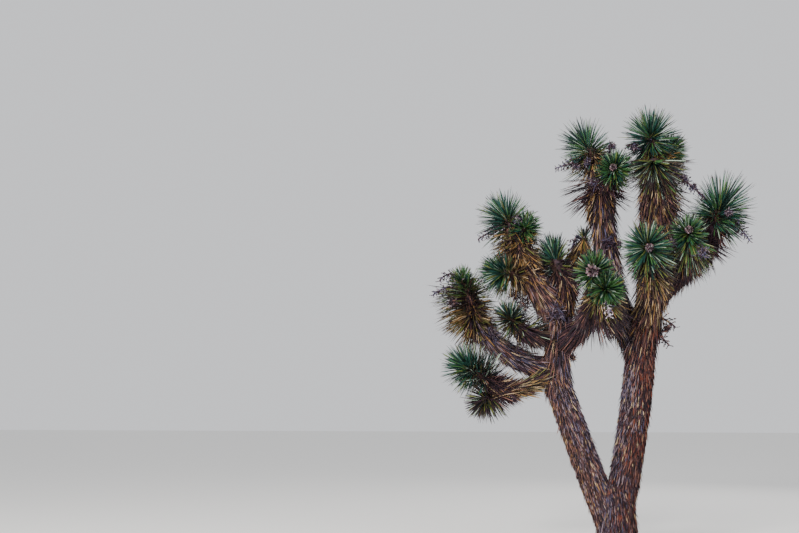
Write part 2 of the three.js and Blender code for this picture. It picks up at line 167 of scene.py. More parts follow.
# Live leaves. A wander is in radians, or in shares of the length for the bend.
LIVE_LEAVES = 500  # on each head
LIVE_LENGTHS = (0.78, 1.1)  # over the reach
LIVE_WIDTH = 0.0118
LIVE_WIDTHS = (0.8, 1.15)  # over that
LIVE_DROOP = 0.2  # how far the tips of the lowest ones sag, as a share of their length
LIVE_BACK = 0.3  # share of the reach behind the centre where the last of them root
LIVE_CROWDING = 1.5  # the higher, the closer together the young ones root
LIVE_WANDER = {"tilt": 0.08, "turn": 0.12, "bend": 0.03}
AGED_AND_SHADED_SHARE = 0.4  # of the oldest, lowest ones, which take the darker aged tone: real ageing and painted shade
AGED_AND_SHADED_POWER = 5  # the higher, the fewer of the younger ones are aged and shaded
AGED_AND_SHADED_TONE = "moss"

# Dead leaves under them. The wander back is in metres and its tilt is in degrees.
DEAD_LENGTHS = (0.75, 1.05)  # over the length of their tier
DEAD_WIDTH = 0.0098
DEAD_WIDTHS = (0.7, 1.15)  # over that
DEAD_DROOP = 0.14
DEAD_ROOT = 0.6  # share of the stem's radius
DEAD_FIRST = 0.02  # share of the stem's length before which none roots
DEAD_WANDER = {"back": 0.01, "tilt": 8, "turn": 0.2, "bend": 0.04}
SAG_LONGER = 0.7  # by how much those that point along the sag are longer


class Look:
    """How a head looks: its tone, the angle off its tip in degrees where its live leaves end, and
    the tiers of dead ones below. A tier: metres behind the centre where it starts and ends, angles
    off the tip there, length, number and tone."""

    def __init__(self, tone, ends, *tiers, size=1, taper=1, full=1, lean=(0, 0, 0), sag=(0, 0, 0)):
        self.tone, self.ends, self.tiers = tone, ends, tiers
        self.size = size  # over the reach
        self.taper = taper  # length of the oldest live leaves as a share of the youngest
        self.full = full  # number of live leaves, as a share of LIVE_LEAVES
        self.lean = np.array(lean)  # of the live leaves
        self.sag = np.array(sag)  # of the dead ones, which are longer where they point that way


# The dark tiers nearest the live leaves are painted shade, where the live leaves shadow the dead
# ones
BACK_TIERS = ((0.1, 0.2, 95, 130, 0.25, 130, "dusk_shade"), (0.2, 0.38, 125, 160, 0.22, 220, "golden"))
LOOKS = {
    "head_low_left": Look(
        "teal", 100,
        (0.02, 0.24, 60, 90, 0.25, 260, "murky"),
        (0.12, 0.32, 90, 130, 0.2, 150, "dusk_shade"),
        size=0.96, taper=0.85, full=0.8, lean=(0, 0, 0.18), sag=(0.1, 0, 0.3),
    ),
    "head_low_drooping": Look(
        "shade", 100,
        (0.04, 0.16, 85, 140, 0.22, 150, "dusk_shade"),
        full=0.55,
    ),
    "head_far_left": Look(
        "green", 100,
        (0.02, 0.14, 66, 92, 0.29, 190, "moss"),
        (0.1, 0.24, 80, 105, 0.3, 240, "shade"),
        (0.22, 0.36, 95, 120, 0.3, 240, "fan"),
        (0.32, 0.5, 112, 144, 0.29, 400, "fan"),
        size=0.62, taper=0.85, full=0.7, sag=(-0.24, 0, 0),
    ),
    "head_inner_left": Look(
        "dull_shade", 110,
        (0.06, 0.3, 85, 130, 0.24, 170, "shade"),
        (0.14, 0.3, 115, 150, 0.16, 110, "dusk_shade"),
        size=0.92, taper=0.9, full=0.7,
    ),
    "head_upper_left": Look(
        "teal", 98,
        (0.14, 0.22, 85, 112, 0.26, 100, "olive"),
        (0.22, 0.4, 100, 140, 0.28, 240, "fan"),
        (0.34, 0.5, 135, 160, 0.24, 200, "golden"),
        size=0.98, full=0.8,
    ),
    "head_upper_front": Look(
        "green", 105,
        (0.06, 0.16, 85, 125, 0.18, 130, "olive"),
        (0.16, 0.34, 115, 158, 0.2, 260, "fan"),
        size=0.78, taper=0.85, full=0.8, lean=(-0.05, 0, 0.12), sag=(-0.45, 0, 0),
    ),
    "head_side_left": Look(
        "teal", 80,
        (0.04, 0.2, 68, 100, 0.25, 220, "fan"),
        (0.16, 0.36, 95, 150, 0.18, 260, "golden"),
        size=1.02, full=0.85,
    ),
    "head_middle": Look(
        "teal", 50,
        (0.02, 0.16, 85, 130, 0.15, 180, "shade"),
        (0.12, 0.36, 120, 158, 0.23, 280, "dusk_shade"),
        full=0.55,
    ),
    "head_middle_back": Look(
        "murky", 75,
        (-0.02, 0.1, 150, 168, 0.3, 300, "fan"),
        (0.06, 0.24, 150, 168, 0.26, 260, "golden"),
        size=0.72, full=0.12,
    ),
    "head_front_upper": Look(
        "green", 104,
        (0.12, 0.24, 105, 145, 0.16, 130, "dusk_shade"),
        size=0.95, taper=0.8, lean=(0.12, 0, 0.05), sag=(0.35, 0, -0.1),
    ),
    "head_front_lower": Look(
        "green", 100,
        (0.03, 0.1, 85, 120, 0.2, 160, "olive"),
        (0.1, 0.2, 85, 130, 0.24, 220, "fan"),
        (0.16, 0.32, 95, 142, 0.29, 340, "dusk_shade"),
        size=0.94, taper=0.7, sag=(0.4, 0, -0.35),
    ),
    "head_tall_left": Look(
        "teal", 92,
        (0.06, 0.26, 100, 145, 0.2, 260, "olive"),
        (0.1, 0.22, 72, 100, 0.27, 100, "murky"),
        (0.34, 0.54, 90, 118, 0.36, 250, "dusk_shade"),
        (0.42, 0.66, 142, 166, 0.26, 360, "golden"),
        taper=0.84, full=0.65, lean=(-0.15, 0, -0.04), sag=(-0.12, 0, -0.1),
    ),
    "head_tall_left_front": Look(
        "green", 108,
        (0.1, 0.26, 95, 140, 0.2, 160, "dusk_shade"),
        size=0.9, taper=0.85,
    ),
    "head_top": Look(
        "teal", 138,
        (0.16, 0.34, 105, 150, 0.18, 260, "golden"),
        (0.24, 0.36, 80, 105, 0.28, 150, "fan"),
        (0.34, 0.46, 90, 120, 0.26, 130, "dusk_shade"),
        size=1.12, taper=0.88, full=1.15,
    ),
    "head_top_right": Look(
        "green", 105,
        (0.08, 0.26, 88, 140, 0.22, 220, "olive"),
        size=0.88, taper=0.85, full=0.85,
    ),
    "head_top_front": Look(
        "moss", 118,
        (-0.04, 0.12, 78, 105, 0.3, 240, "shade"),
        (0.1, 0.28, 105, 145, 0.28, 180, "moss"),
        (0.26, 0.5, 145, 165, 0.28, 300, "olive"),
        (0.3, 0.5, 118, 135, 0.29, 90, "dusk_shade"),
        (0.46, 0.9, 150, 168, 0.28, 380, "golden"),
        taper=0.75, sag=(0.25, 0, 0),
    ),
    "head_front_right": Look(
        "teal", 120,
        (0.12, 0.2, 90, 125, 0.24, 120, "shade"),
        (0.26, 0.38, 105, 168, 0.19, 320, "fan"),
        size=1.05, full=0.78, sag=(0.2, 0, -0.2),
    ),
    "head_right_front": Look(
        "green", 118,
        (0.05, 0.2, 105, 162, 0.29, 360, "moss"),
        (0.24, 0.46, 140, 165, 0.18, 220, "dusk_shade"),
        size=0.8,
    ),
    "head_far_right": Look(
        "teal", 118,
        (0, 0.16, 60, 115, 0.25, 330, "teal"),
        (0.16, 0.3, 100, 150, 0.18, 200, "dusk_shade"),
        (0.34, 0.46, 95, 125, 0.24, 170, "dusk_shade"),
        size=1.16, taper=0.7, full=0.85, lean=(0, 0, 0.05), sag=(0.15, 0, 0),
    ),
    "head_back_left": Look("teal", 105, *BACK_TIERS),
    "head_back_low": Look("green", 105, *BACK_TIERS),
    "head_back_right": Look("teal", 105, *BACK_TIERS),
    "head_back_far_right": Look("murky", 100, (0.05, 0.16, 90, 140, 0.2, 220, "golden"), size=0.9),
}

# On this head the leaves that rise above a slope are worn away, sooner at its front, so that it
# reads as a lower tier
WORN = {"head_top_front": 0.15}
WORN_FRONT = 0.3

# The coats that the limbs are packed in: dead leaves on the boughs, shreds of bark on the stems.
# The pieces root at a share of the limb's radius. Lift is how steeply they stand off it, as a
# slope, and stray is the share of them that stand off further.
COATS = {
    "thatch": dict(
        inner=0.84, spacing=0.0125, length=(0.1, 0.24), width=0.009, lift=0.08, stray=0.12,
        curl=0.025,
    ),
    "shreds": dict(
        inner=0.94, spacing=0.0106, length=(0.03, 0.1), width=0.0072, lift=0.05, stray=0.08,
        curl=0.07,
    ),
}
LIFT_WANDER = 0.05
STRAY_LIFT = (0.15, 0.5)
COAT_WIDTHS = (0.7, 1.3)  # over the width
COAT_DROOP = 0.15  # of the pieces on the underside of a level limb
COAT_REACH = 0.9  # longest piece, as a share of the way back to the limb's foot
BURIED_BARE = 0.8  # share of a limb's buried length that has no coat
NECK_COATED = 0.55  # share of a head's stem that has one
SHREDDED = ("trunk", "stem_left", "stem_right")  # the others have thatch
THATCH_BORDERS = (-0.5, 0.38)  # metres to the right, between the left, middle and right thatch

# Young thatch below a head: metres down the limb over which it falls to a third, the limbs on
# which it lasts longer, and how much more of it strays and how much longer it is
YOUNG_FOR = 0.28
LONG_YOUNG_FOR = 0.6
LONG_YOUNG = ("bough_tall_left", "bough_front_right")
YOUNG_STRAY = 0.2
YOUNG_LONGER = 0.3

# Coats that are thicker or thinner than on the solids, by their radius
PLUMP = {
    "stem_left": 1.1, "stem_right": 0.96, "bough_low_left": 0.74, "head_low_left": 0.75,
    "bough_inner_left": 0.78, "head_inner_left": 0.8, "head_middle": 0.75, "bough_right": 0.74,
}

# Tones of the stems at their left and right, and how they mix: how sharply one side differs from
# the other, how patchy the tones are, and the number of patches round and along a stem
SIDE_CONTRAST = 0.7
PATCH_CONTRAST = 0.6
PATCHES = (6, 9)
SIDE_TONES = {
    "trunk": ("weathered", "rusty"),
    "stem_left": ("tawny", "weathered"),
    "stem_right": ("weathered", "rusty"),
    "stem_left_top": ("tawny", "weathered"),
    "stem_right_top": ("tawny", "rusty"),
}

# Tones of the boughs and of the stems of heads. The tone of the young thatch mixes in: a little
# everywhere, and more near the head.
YOUNG_MIX = (0.08, 0.8)
YOUNG_TONE = "golden"
DARK_TONES = ("dusk_shade", "ruddy")  # of boughs whose young thatch is dark too
DARK_YOUNG_TONE = "dusk_shade"
PLAIN_BOUGH_TONE = "brown"
# The dark tone on the stems of heads and on several boughs is painted shade under the crown
BOUGH_TONES = {
    "bough_low_left": "fan", "head_low_left": "dusk_shade", "bough_left": "weathered",
    "head_far_left": "dusk_shade", "bough_inner_left": "dusk_shade", "head_inner_left": "dusk_shade",
    "bough_upper_left": "tawny", "bough_middle": "tawny", "head_middle": "dusk_shade",
    "bough_front_left": "dusk_shade", "head_front_upper": "dusk_shade", "head_front_lower": "dusk_shade",
    "bough_tall_left": "weathered", "bough_tall_right": "brown", "bough_right": "ruddy",
    "head_far_right": "dusk_shade", "spur_right": "dusk_shade",
}

# Bark under the coats: its radius over that of the limb, sides, and length of a row
SHREDDED_BARK = (0.91, 96, 0.018)
THATCHED_BARK = (0.78, 36, 0.035)
DOME = 0.7  # height of a limb's rounded tip, as a share of its radius

# Bark relief: width, length and height of the ridges
BARK_RIDGES = ((0.045, 0.24, 0.010), (0.02, 0.11, 0.006), (0.010, 0.05, 0.003))

# Bark colour, in layers: stretch of the noise, its low and high colours, and the noise between
# which they mix. A layer with no low colour lies over those before it.
# The first layer's near-black low colour is painted shade: it falls where the bump sinks into
# furrows, and darkens the bark seen between the pieces of the coats
BARK_LAYERS = (
    ((60, 60, 7), (22, 15, 19), (70, 50, 46), 0.38, 0.66),
    ((9, 9, 1.6), None, (70, 58, 68), 0.54, 0.7),
    ((5, 5, 2.1), None, (78, 42, 34), 0.56, 0.74),
)
BARK_BUMP = {"Strength": 0.7, "Distance": 0.01}
BARK_ROUGHNESS = 0.9
BARK_SPECULAR = 0.25

# Shine of the leaves
LIVE_ROUGHNESS = 0.42
DEAD_ROUGHNESS = 0.78
PLAIN_SPECULAR = 0.4

# The dried flower stalks, in millimetres: head, end, rise of the middle, and tone
STALKS = (
    ("head_tall_left", (-546, 60, 3853), 0, "mauve"),
    ("head_tall_left_front", (10, 170, 4080), 60, "mauve"),
    ("head_top_front", (933, -60, 3466), 90, "mauve"),
    ("head_top", (188, -40, 4030), 30, "mauve"),
    ("head_upper_left", (-1339, -60, 3117), 30, "mauve"),
    ("head_far_left", (-1765, 60, 2705), 240, "mauve"),
    ("head_far_left", (-1830, 20, 2555), 120, "mauve"),
    ("head_far_right", (1348, -40, 3024), 120, "mauve"),
    ("head_middle_back", (-425, 400, 2950), 300, "blue"),
    ("head_front_lower", (-25, -690, 2250), 20, "ashy"),
)
STALK_ROOT = 0.7  # share of the head's stem where a stalk starts
STALK_RADIUS = (0.016, 0.007)
STALK_ROWS = 12
STALK_SIDES = 6
TWIGS_START = 0.12  # share of the stalk
TWIG_SPACING = 0.013
TWIG_LENGTH = 0.07
TWIG_WIDTH = 0.012
TWIG_SIZES = (0.8, 1.15)
TWIG_TAPER = ((TWIGS_START, 0.4, 1), (1.1, 1, 0.4))  # shares of the stalk, of the length
TWIG_TURN = 0.3  # radians by which they wander round the stalk
TWIG_LEAN = 0.3  # towards the stalk's tip
TWIG_DROOP = 0.25
PODS = 3  # on a twig
POD_SIZE = (0.032, 0.018)
POD_SIZES = (0.7, 1.2)
POD_TAPER = ((0.4, 1), (1, 0.55))  # shares of the stalk, of the size
POD_STRETCH = (0.5, 0.95)  # shares of the twig between which they stand
POD_SCATTER = 0.45
POD_DROOP = 0.3
SPINDLE_BELLY = 0.45  # share of a twig's or pod's length where it is widest
SPINDLE_FACES = 8

# Broken twigs on the right stem, in millimetres: start and end, and rise of the middle
SPRIG_RISE = 30
SPRIG_TONE = "dusk_shade"
SPRIGS = (
    ((450, 0, 2290), (615, 0, 2185)),
    ((400, 0, 2150), (545, 0, 2005)),
)

# Dry clumps of old flower stalks, in millimetres: place, radius and tone
CLUMPS = (
    ((865, -350, 2875), 75, "blue"), ((580, -300, 2985), 60, "mauve"),
    ((515, -250, 2525), 45, "mauve"), ((1139, -190, 3289), 48, "mauve"),
    ((-922, -120, 3305), 60, "blue"), ((-141, -20, 3673), 90, "mauve"),
    ((258, 0, 4025), 65, "mauve"), ((-1610, 0, 2480), 70, "grey"),
    ((640, -100, 3725), 65, "mauve"), ((-28, 20, 3060), 85, "mauve"),
    ((-549, -210, 2330), 140, "blue"), ((36, 50, 4058), 50, "mauve"),
    ((-5, -10, 2150), 100, "dusk_shade"), ((530, 0, 2180), 55, "dusk_shade"), ((72, 90, 3040), 65, "mauve"),
    ((-890, -20, 2430), 110, "dusk_shade"), ((-965, -20, 2530), 80, "dusk_shade"),
    ((-405, -50, 1900), 50, "brown"), ((-1215, 0, 2130), 95, "blue"),
    ((735, -85, 3660), 50, "mauve"), ((825, -75, 3580), 42, "mauve"),
    ((-330, 60, 3870), 48, "mauve"), ((-215, 20, 3885), 55, "mauve"),
)
CLUMP_TWIGS = 170
CLUMP_SPREAD = 0.3  # over the radius
CLUMP_TWIG_LENGTHS = (0.4, 0.9)  # over the radius
CLUMP_TWIG_WIDTHS = (0.006, 0.01)

# Clusters of buds in the heads that face the viewer, in millimetres: place and radius
BUDS = (
    ((-172, -720, 2678), 76),
    ((368, -560, 2911), 46),
    ((748, -360, 3105), 45),
    ((46, -170, 3795), 40),
)
BUDS_FACE = (-0.1, -0.95, 0.3)
BUD_SCALES = 300
BUD_OPENS = 1.5  # how far round the scales stand, where 1 is half a ball and 2 is a whole one
BUD_ROOTS = (0.1, 0.55)  # over the radius
BUD_LENGTHS = (0.3, 0.5)  # over the radius
BUD_CURL = 0.12
BUD_SLIM = 0.3  # a scale's width over its length, on top of the least width
BUD_LEAST_WIDTH = 0.005

# Studio: lamps by name, place, size, watts and colour
FLOOR_SIZE = 120
FLOOR_COLOUR = (236, 235, 232)
FLOOR_ROUGHNESS = 0.9
ROOM_COLOUR = (0.9, 0.91, 0.94, 1)
ROOM_STRENGTH = 0.95
LAMPS_AIM = (0, 0, 2.4)
LAMPS = (
    ("key", (-4, -10, 6.5), 3, 2000, (1, 0.96, 0.9)),
    ("fill", (7, -7, 3), 5, 250, (0.9, 0.94, 1)),
    ("rim", (3, 8, 6), 4, 250, (1, 0.97, 0.94)),
)

# Camera: the photograph's own place
CAMERA_PLACE = (0.05, -11.3, 1.375)
CAMERA_UP = 7.368  # degrees above level
CAMERA_LEFT = 11.139  # degrees left of the tree
LENS = 50  # mm
FRAME_WIDTH = 36  # mm


def unit(vectors):
    return vectors / np.linalg.norm(vectors, axis=-1, keepdims=True)


def around(axis, turn):
    """Unit vectors square to an axis, turned round it."""
    side = unit(np.cross(OFF_SIDE, axis))
    return side * np.cos(turn)[..., None] + np.cross(axis, side) * np.sin(turn)[..., None]


def tilted(axis, out, angle):
    """Unit vectors that lean off an axis towards out."""
    return unit(axis * np.cos(angle)[:, None] + out * np.sin(angle)[:, None])


class Curve:
    """A line through points, read by shares of its length."""

    def __init__(self, points):
        self.points = points
        reached = np.cumsum(np.linalg.norm(np.diff(self.points, axis=0), axis=1))
        self.length = reached[-1]
        self.shares = np.concatenate([[0], reached]) / self.length

    def at(self, share):
        return np.stack([np.interp(share, self.shares, line) for line in self.points.T], -1)

    def way(self, share):
        share = np.clip(share, CURVE_STEP, 1 - CURVE_STEP)
        return unit(self.at(share + CURVE_STEP) - self.at(share - CURVE_STEP))


def quadratic(start, middle, end):
    step = np.linspace(0, 1, CURVE_POINTS)[:, None]
    return Curve((1 - step) ** 2 * start + 2 * step * (1 - step) * middle + step**2 * end)


def bowed(start, end, bow):
    return quadratic(start, (start + end) / 2 + bow, end)


class Limb:
    """A limb or a head's stem: its curve, and its radius with the coat of dead leaves."""

    def __init__(self, name, curve, shares, radii, buried):
        self.name, self.curve, self.shares, self.radii = name, curve, shares, radii
        self.buried = buried  # how much of its length is inside the limb that carries it
        self.girth = 2 * math.pi * self.radius(np.linspace(0, 1, GIRTH_PLACES)).mean()
        self.below_head = None  # metres from the limb's tip up to the skirt of its head

    def radius(self, share):
        return np.interp(share, self.shares, self.radii)


def grow_limbs():
    limbs = {}
    for name, (parent, share, tip, bow, widths) in LIMBS.items():
        start = limbs[parent].curve.at(share) if parent else DOWN * BURIED * MM
        curve = bowed(start, np.array(tip) * MM, np.array(bow) * MM)
        shares = np.linspace(0, 1, LIMB_ROWS)
        radii = np.interp(shares, [0, 1], np.array(widths) / 2 * MM)
        buried = BURIED * MM
        if parent:
            buried = 0 if share > CARRIES_ON else limbs[parent].radius(share)
        else:
            above = np.maximum(0, shares * curve.length - BURIED * MM)
            radii *= 1 + (ROOT_FLARE - 1) * np.exp(-above / radii[0])
            radii *= 1 - FORK_TAPER * shares**FORK_TAPER_POWER
        limbs[name] = Limb(name, curve, shares, radii, buried)
    return limbs


def grow_neck(name, limbs):
    """The stem of a head, from inside its limb to just past the centre of its leaves."""
    on, share, centre, face, reach = HEADS[name]
    limb, reach = limbs[on], reach * MM
    way = unit(np.array(face))
    start = limb.curve.at(min(share, CORE_STARTS))
    end = np.array(centre) * MM + way * CORE_PAST * reach
    curve = quadratic(start, end - way * 0.5 * np.linalg.norm(end - start), end)
    foot = limb.radii[-1] * CORE_FOOT["alone" if share == 1 else "shared"]
    bulge = max(0.05, 1 - CORE_BULGE["back"] * reach / curve.length)
    radii = [foot, CORE_BULGE["radius"] * reach, CORE_TIP * reach]
    neck = Limb(name, curve, [0, bulge, 1], radii, 0 if share > AT_TIP else limb.radii[-1])
    neck.below_head = -SKIRTED * curve.length
    if share > AT_TIP:
        limb.below_head = min((1 - SKIRTED) * curve.length, limb.below_head or math.inf)
    return neck


def with_limb(neck, limbs):
    """The stem of a head and the limb that carries it as one."""
    on, share = HEADS[neck.name][:2]
    limb = limbs[on]
    carried = limb.curve.shares < min(share, CORE_STARTS) - CURVE_STEP
    curve = Curve(np.concatenate([limb.curve.points[carried], neck.curve.points]))
    radii = [limb.radius(limb.curve.shares[carried]), neck.radius(neck.curve.shares)]
    return Limb(neck.name, curve, curve.shares, np.concatenate(radii), 0)


def srgb(red, green, blue):
    """A base colour from the red, green and blue of a screen."""
    return tuple((value / 255) ** 2.2 for value in (red, green, blue)) + (1,)


def settle(node, inputs):
    """Sets a node's own inputs."""
    for socket, value in inputs.items():
        node.inputs[socket].default_value = value


def plain(name, colour, roughness):
    material = bpy.data.materials.new(name)
    material.use_nodes = True
    shader = material.node_tree.nodes["Principled BSDF"]
    settle(shader, {"Base Color": srgb(*colour), "Roughness": roughness})
    settle(shader, {"Specular IOR Level": PLAIN_SPECULAR})
    return material


def make_tints():
    materials = []
    for name, colour in TINTS.items():
        roughness = LIVE_ROUGHNESS if name.startswith("leaf") else DEAD_ROUGHNESS
        materials.append(plain(name, colour, roughness))
    return materials


TINT_PLACES = {name: place for place, name in enumerate(TINTS)}


def draw(random, tone, count):
    """Places of tints in TINTS, drawn by the weights of a tone."""
    places = [TINT_PLACES[name] for name in TONES[tone]]
    shares = np.array(list(TONES[tone].values()), float)
    return random.choice(places, count, p=shares / shares.sum())


def bark_material():
    """Stringy bark: brown, grey and rust in long streaks, darker in the furrows, which is painted
    shade.
    """
    material = bpy.data.materials.new("bark_strings")
    material.use_nodes = True
    nodes, link = material.node_tree.nodes, material.node_tree.links.new
    shader = nodes["Principled BSDF"]
    settle(shader, {"Roughness": BARK_ROUGHNESS, "Specular IOR Level": BARK_SPECULAR})
    place = nodes.new("ShaderNodeTexCoord")
    colour = None
    first, second, mixed = 6, 7, 2  # the colour sockets of a mix
    for scale, dark, light, low, high in BARK_LAYERS:
        stretch = nodes.new("ShaderNodeMapping")
        settle(stretch, {"Scale": scale, "Location": (scale[2], 0, 0)})
        noise = nodes.new("ShaderNodeTexNoise")
        settle(noise, {"Scale": 1, "Detail": 5})
        ramp = nodes.new("ShaderNodeMapRange")
        settle(ramp, {"From Min": low, "From Max": high})
        mix = nodes.new("ShaderNodeMix")
        mix.data_type = "RGBA"
        link(place.outputs["Object"], stretch.inputs["Vector"])
        link(stretch.outputs["Vector"], noise.inputs["Vector"])
        link(noise.outputs["Fac"], ramp.inputs["Value"])
        link(ramp.outputs["Result"], mix.inputs[0])
        if colour is None:
            settle(mix, {first: srgb(*dark)})
            bump = nodes.new("ShaderNodeBump")
            settle(bump, BARK_BUMP)
            link(noise.outputs["Fac"], bump.inputs["Height"])
            link(bump.outputs["Normal"], shader.inputs["Normal"])
        else:
            link(colour, mix.inputs[first])
        settle(mix, {second: srgb(*light)})
        colour = mix.outputs[mixed]
    link(colour, shader.inputs["Base Color"])
    return material


def piece(name, vertices, triangles, tints, materials, smooth=False):
    """One mesh of triangles, each of which takes one of the materials."""
    used, slots = np.unique(tints, return_inverse=True)
    mesh = bpy.data.meshes.new(name)
    mesh.vertices.add(len(vertices))
    mesh.vertices.foreach_set("co", np.asarray(vertices, np.float32).ravel())
    mesh.loops.add(triangles.size)
    mesh.loops.foreach_set("vertex_index", triangles.astype(np.int32).ravel())
    mesh.polygons.add(len(triangles))
    mesh.polygons.foreach_set("loop_start", np.arange(0, triangles.size, 3, dtype=np.int32))
    mesh.polygons.foreach_set("material_index", slots.astype(np.int32).ravel())
    mesh.polygons.foreach_set("use_smooth", np.full(len(triangles), smooth))
    for place in used:
        mesh.materials.append(materials[place])
    mesh.update(calc_edges=True)
    obj = bpy.data.objects.new(name, mesh)
    bpy.context.scene.collection.objects.link(obj)
    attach(obj, "root")
    return obj


class Blades:
    """Many blades with one form, which end as one mesh."""

    def __init__(self, form):
        self.form = np.array(form)
        self.vertices, self.tints = [], []

    def add(self, root, way, bend, up, roll, length, width, tint, base=None, tip=None):
        """Blades that leave root along way, pulled off it by bend at the tip, in shares of their
        length. The flat face looks up, and rolls off it. Base and tip are tints of the ends."""
        share, wide = self.form.T[:, None, :, None]
        way, bend, up = way[:, None], bend[:, None], up[:, None]
        size = length[:, None, None]
        line = root[:, None] + size * (way * share + bend * share**2)
        along = unit(way + 2 * bend * share)
        level = unit(np.cross(up, along))
        below = np.cross(level, along)
        cosine, sine = np.cos(roll)[:, None, None], np.sin(roll)[:, None, None]
        half = width[:, None, None] * wide / 2
        across = level * cosine + below * sine
        keel = (below * cosine - level * sine) * half * KEEL
        rows = np.stack([line - across * half, line + keel, line + across * half], 2)
        ends = root[:, None] + size * (way + bend)
        vertices = np.concatenate([rows.reshape(len(root), -1, 3), ends], 1)
        self.vertices.append(vertices)
        faces = np.repeat(tint[:, None], 4 * len(self.form) - 2, 1)  # four a row, two at the tip
        if base:
            faces[:, :4] = TINT_PLACES[base]
        if tip:
            faces[:, -2:] = TINT_PLACES[tip]
        self.tints.append(faces)

    def finish(self, name, materials):
        vertices = np.concatenate(self.vertices)
        vertices[..., 2] = np.maximum(vertices[..., 2], ABOVE_GROUND)
        count, each = vertices.shape[:2]
        faces = []
        for row in range(0, 3 * len(self.form) - 3, 3):
            for side in (0, 1):
                a, b, c, d = row + side, row + side + 1, row + side + 4, row + side + 3
                faces += [(a, b, c), (a, c, d)]
        last = each - 4
        faces += [(last, last + 1, each - 1), (last + 1, last + 2, each - 1)]
        triangles = (np.arange(count)[:, None, None] * each + np.array(faces)).reshape(-1, 3)
        tints = np.concatenate(self.tints)
        return piece(name, vertices.reshape(-1, 3), triangles, tints, materials)


def lasting(name, way):
    """Which of a head's leaves aren't worn away."""
    return way[:, 2] - WORN_FRONT * way[:, 1] < WORN.get(name, math.inf)


def grow_leaves(random, name, neck, blades):
    """The live leaves of a head, spread round its stem by the golden angle from the spear down."""
    look = LOOKS[name]
    n = int(LIVE_LEAVES * look.full)
    reach = HEADS[name][4] * MM * look.size
    age = (np.arange(n) + 0.5) / n
    behind = (CORE_PAST + LIVE_BACK) * age**LIVE_CROWDING * reach
    share = np.clip(1 - behind / neck.curve.length, 0, 1)
    axis = neck.curve.way(share)
    spread = 1 - math.cos(math.radians(look.ends))
    angle = np.arccos(1 - age * spread) + random.normal(0, LIVE_WANDER["tilt"], n)
    turn = np.arange(n) * GOLDEN_ANGLE + random.normal(0, LIVE_WANDER["turn"], n)
    out = around(axis, turn)
    root = neck.curve.at(share) - axis * CORE_PAST * reach * (1 - age[:, None])
    length = reach * random.uniform(*LIVE_LENGTHS, n) * np.interp(age, [0, 1], [1, look.taper])
    droop = DOWN * LIVE_DROOP * age[:, None] ** 2
    bend = droop + random.normal(0, LIVE_WANDER["bend"], (n, 3))
    width = LIVE_WIDTH * random.uniform(*LIVE_WIDTHS, n)
    tint = draw(random, look.tone, n)
    # The oldest, lowest leaves take a darker tone: partly real ageing and partly painted shade
    # under the head
    aged_and_shaded = random.random(n) < AGED_AND_SHADED_SHARE * age**AGED_AND_SHADED_POWER
    tint = np.where(aged_and_shaded, draw(random, AGED_AND_SHADED_TONE, n), tint)
    way = unit(tilted(axis, out, angle) + look.lean)
    roll = random.normal(0, ROLL, n)
    fields = (root, way, bend, axis, roll, length, width, tint)
    blades.add(*(field[lasting(name, way)] for field in fields), "leaf_base", "leaf_tip")


def hang_tiers(random, name, stem, blades):
    """Tiers of dead leaves that stand out and then turn back under the live ones."""
    sag = LOOKS[name].sag
    past = CORE_PAST * HEADS[name][4] * MM
    for start, end, first, last, long, n, tone in LOOKS[name].tiers:
        age = (np.arange(n) + 0.5) / n
        behind = np.interp(age, [0, 1], [start, end]) + random.normal(0, DEAD_WANDER["back"], n)
        share = np.clip(1 - (past + behind) / stem.curve.length, DEAD_FIRST, 1)
        axis = stem.curve.way(share)
        angle = np.interp(age, [0, 1], [first, last]) + random.normal(0, DEAD_WANDER["tilt"], n)
        turn = np.arange(n) * GOLDEN_ANGLE + random.normal(0, DEAD_WANDER["turn"], n)
        out = around(axis, turn)
        tilt = tilted(axis, out, np.radians(angle))
        root = stem.curve.at(share) + out * DEAD_ROOT * stem.radius(share)[:, None]
        droop = DOWN * random.uniform(0, DEAD_DROOP, n)[:, None]
        bend = droop + random.normal(0, DEAD_WANDER["bend"], (n, 3))
        length = long * random.uniform(*DEAD_LENGTHS, n) * (1 + SAG_LONGER * (tilt @ sag))
        width = DEAD_WIDTH * random.uniform(*DEAD_WIDTHS, n)
        way = unit(tilt + sag)
        roll = random.normal(0, ROLL, n)
        tint = draw(random, tone, n)
        fields = (root, way, bend, axis, roll, length, width, tint)
        blades.add(*(field[lasting(name, way)] for field in fields), tip="leaf_tip")


def smooth_noise(random, turn, along, turn_cells, along_cells):
    """Smooth random heights from -1 to 1 over a surface that closes round its limb."""
    lattice = random.uniform(-1, 1, (along_cells + 2, turn_cells))
    x, y = turn / (2 * math.pi) * turn_cells, along * along_cells
    i, j = np.floor(x).astype(int), np.floor(y).astype(int)
    u, v = x - i, y - j
    u, v = u * u * (3 - 2 * u), v * v * (3 - 2 * v)
    i, following = i % turn_cells, (i + 1) % turn_cells
    low = lattice[j, i] * (1 - u) + lattice[j, following] * u
    high = lattice[j + 1, i] * (1 - u) + lattice[j + 1, following] * u
    return low * (1 - v) + high * v


def coat_tints(random, limb, out, young, share):
    """Tints of a coat: those of the stem's two sides, or of the bough and its young thatch."""
    n = len(young)
    if limb.name in SIDE_TONES:
        main, other = SIDE_TONES[limb.name]
        turn = np.arctan2(out[:, 1], out[:, 0]) % (2 * math.pi)
        patch = smooth_noise(random, turn, share, *PATCHES)
        chance = 0.5 + SIDE_CONTRAST * out[:, 0] + PATCH_CONTRAST * patch
    else:
        main = BOUGH_TONES.get(limb.name, PLAIN_BOUGH_TONE)
        other = DARK_YOUNG_TONE if main in DARK_TONES else YOUNG_TONE
        chance = YOUNG_MIX[0] + YOUNG_MIX[1] * young
    return np.where(random.random(n) < chance, draw(random, other, n), draw(random, main, n))


